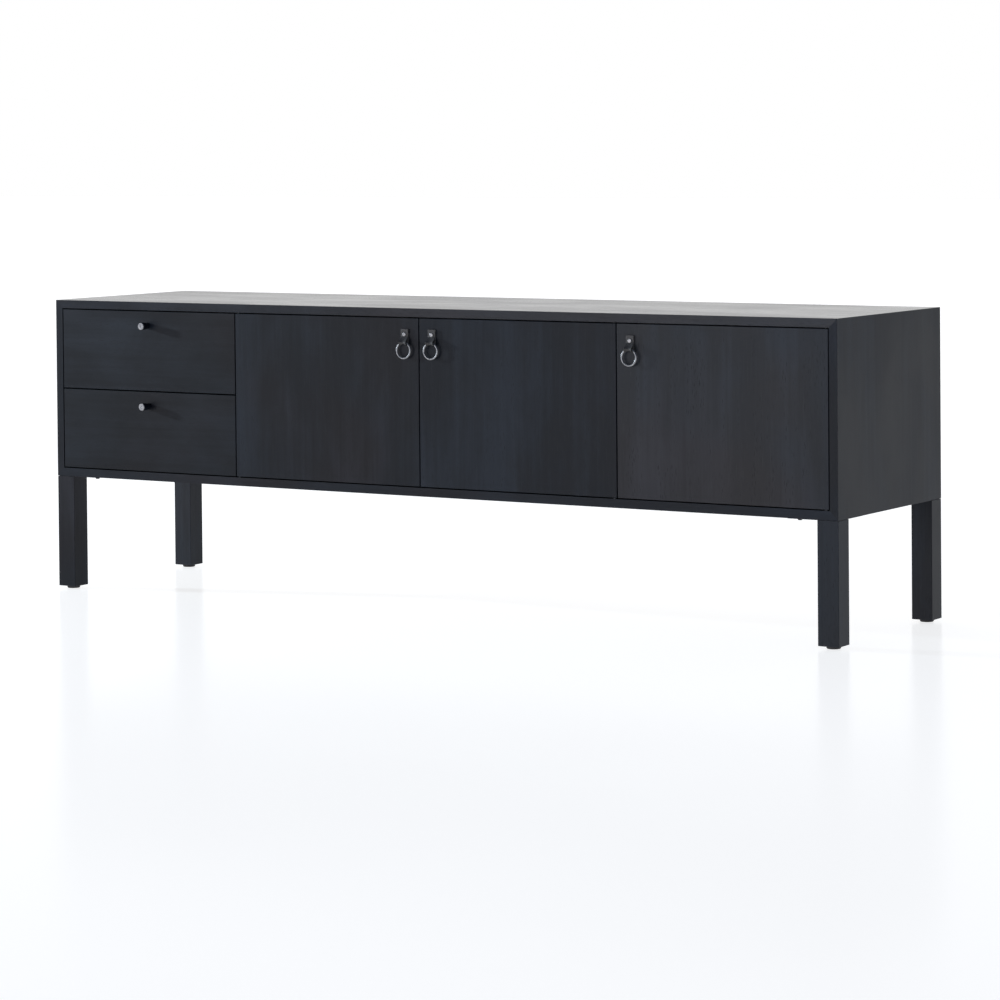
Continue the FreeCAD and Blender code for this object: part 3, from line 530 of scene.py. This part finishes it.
def studio_floor():
    """A large pale floor with a soft gloss, just under the glides."""
    tree = Tree("floor_finish")
    cloud = tree.noise(tree.mapped(), 0.8, 2.0, 0.5)
    colour = tree.blend(tree.ranged(cloud, 0.3, 0.7), (0.44, 0.44, 0.44), (0.46, 0.46, 0.46))
    tree.set(IOR=FLOOR_IOR, Emission_Color=WHITE + (1.0,), Emission_Strength=FLOOR_GLOW)
    material = tree.finish(colour, tree.ranged(cloud, 0.3, 0.7, 0.16, 0.20))
    level = CAD_BOX[0].z - FLOOR_DROP
    bpy.ops.mesh.primitive_plane_add(size=FLOOR_SIZE, location=(0.0, 0.0, level))
    floor = bpy.context.object
    floor.name = "floor"
    floor.data.materials.append(material)


# The lamp's place and aim are measured from the floor under the middle of the front.
KEY_PLACE = Vector((-4.7, -1.2, 1.45))
KEY_AIM = Vector((0.0, 0.0, 0.45))
KEY_SIDE = 0.16
KEY_WATTS = 134.0
KEY_COLOUR = (0.80, 0.91, 1.0)


def key_light():
    """A small lamp far to the left, grazing the front."""
    front = Vector((0.0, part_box("door_1_panel")[0].y, 0.0))
    light = bpy.data.lights.new("key", "AREA")
    light.shape = "SQUARE"
    light.size = KEY_SIDE
    light.energy = KEY_WATTS
    light.color = KEY_COLOUR
    lamp = bpy.data.objects.new("key", light)
    lamp.location = front + KEY_PLACE
    lamp.rotation_mode = "QUATERNION"
    lamp.rotation_quaternion = (KEY_AIM - KEY_PLACE).to_track_quat("-Z", "Y")
    bpy.context.scene.collection.objects.link(lamp)


DUSK = (0.15, 0.19, 0.26)
# A bright lobe's direction, the cosines where it starts and is full, and its colour.
FRONT_WINDOW = ((-0.36, -0.93, 0.06), 0.945, 0.995, (4.0, 3.8, 3.9))
BACKDROP = ((-0.53, 0.85, 0.0), 0.35, 0.80, WHITE)


def lobe_mask(tree, sky, direction, start, full):
    """How far the sky's own direction has turned into a lobe, from 0 to 1."""
    dot = tree.nodes.new("ShaderNodeVectorMath")
    dot.operation = "DOT_PRODUCT"
    tree.links.new(sky.outputs["Generated"], dot.inputs[0])
    dot.inputs[1].default_value = direction
    ramp = tree.nodes.new("ShaderNodeMapRange")
    ramp.interpolation_type = "SMOOTHSTEP"
    tree.links.new(dot.outputs["Value"], ramp.inputs["Value"])
    ramp.inputs["From Min"].default_value = start
    ramp.inputs["From Max"].default_value = full
    return ramp.outputs["Result"]


def surroundings(base, lobes):
    """A world of one colour with soft bright lobes, each laid over those before it."""
    world = bpy.data.worlds.new("studio")
    world.use_nodes = True
    tree = world.node_tree
    sky = tree.nodes.new("ShaderNodeTexCoord")
    sky_colour = None
    for direction, start, full, colour in lobes:
        mix = tree.nodes.new("ShaderNodeMix")
        mix.data_type = "RGBA"
        tree.links.new(lobe_mask(tree, sky, direction, start, full), mix.inputs["Factor"])
        if sky_colour is None:
            mix.inputs[FIRST_COLOUR].default_value = base + (1.0,)
        else:
            tree.links.new(sky_colour, mix.inputs[FIRST_COLOUR])
        mix.inputs[SECOND_COLOUR].default_value = colour + (1.0,)
        sky_colour = mix.outputs[MIXED_COLOUR]
    tree.links.new(sky_colour, tree.nodes["Background"].inputs["Color"])
    bpy.context.scene.world = world


# Camera

LENS_MM = 124.35
SENSOR_MM = 36.0
SHIFT_UP = -0.2842
YAW, PITCH, ROLL = -32.082, -1.386, -0.478
FROM_LEFT_FOOT = Vector((5.1639, -6.2812, 1.0519))
NEAR_CLIP, FAR_CLIP = 0.1, 200.0


def make_camera():
    """The photograph's viewpoint: far off to the right, a little above, shifted down."""
    yaw, pitch, roll = (math.radians(angle) for angle in (YAW, PITCH, ROLL))
    foot = Vector((CAD_BOX[0].x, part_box("door_1_panel")[0].y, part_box("leg_front_left")[0].z))
    place = foot + FROM_LEFT_FOOT
    forward = Vector((math.sin(yaw) * math.cos(pitch),
                      math.cos(yaw) * math.cos(pitch), math.sin(pitch)))
    level = Vector((math.cos(yaw), -math.sin(yaw), 0.0))
    upright = level.cross(forward)
    right = math.cos(roll) * level + math.sin(roll) * upright
    up = -math.sin(roll) * level + math.cos(roll) * upright
    camera = bpy.data.cameras.new("camera")
    camera.sensor_width = SENSOR_MM
    camera.lens = LENS_MM
    camera.shift_y = SHIFT_UP
    camera.clip_start = NEAR_CLIP
    camera.clip_end = FAR_CLIP
    holder = bpy.data.objects.new("camera", camera)
    turn = Matrix((right, up, -forward)).transposed()
    holder.matrix_world = Matrix.Translation(place) @ turn.to_4x4()
    bpy.context.scene.collection.objects.link(holder)
    bpy.context.scene.camera = holder


dress_all()
hide = leather("tab_leather")
for door in DOORS:
    make_tab(door, hide)
studio_floor()
key_light()
surroundings(DUSK, (FRONT_WINDOW, BACKDROP))
make_camera()
bpy.context.scene.view_settings.view_transform = "Standard"
